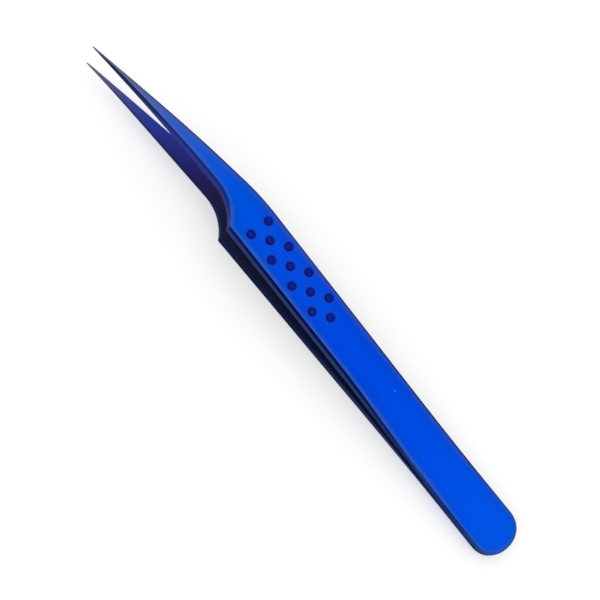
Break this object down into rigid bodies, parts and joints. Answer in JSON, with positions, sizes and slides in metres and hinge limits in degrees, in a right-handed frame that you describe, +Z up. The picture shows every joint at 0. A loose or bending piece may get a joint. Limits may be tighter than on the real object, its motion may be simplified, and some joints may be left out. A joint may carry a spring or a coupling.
{
  "type": "precision tweezers",
  "caption": "Fine-point precision tweezers: two blue coated spring steel arms welded at the tail, with a side notch, bent needle tips and grip dimples.",
  "frame": {"origin": "middle of the lower arm's flat grip face, where the tweezers rest", "axes": "+X towards the tips, +Y towards the side with the notch, +Z up, from the resting face to the upper arm"},
  "size_m": [0.1301, 0.0108, 0.0109],
  "materials": {
    "coated_steel_lower": "blue plasma coat, satin",
    "coated_steel_upper": "blue plasma coat, satin"
  },
  "bodies": {
    "lower_arm_body": {"lower_arm": "coated_steel_lower"},
    "upper_arm_body": {"upper_arm": "coated_steel_upper"}
  },
  "joints": [
    {"name": "arm_flex", "type": "hinge", "parent": "lower_arm_body", "child": "upper_arm_body", "pos_m": [-0.06162, 0, 0.00212], "axis": [0, 1, 0], "range_deg": [0, 3.88], "stiffness_Nm_per_rad": 0.9, "springref_deg": -0.52}
  ]
}
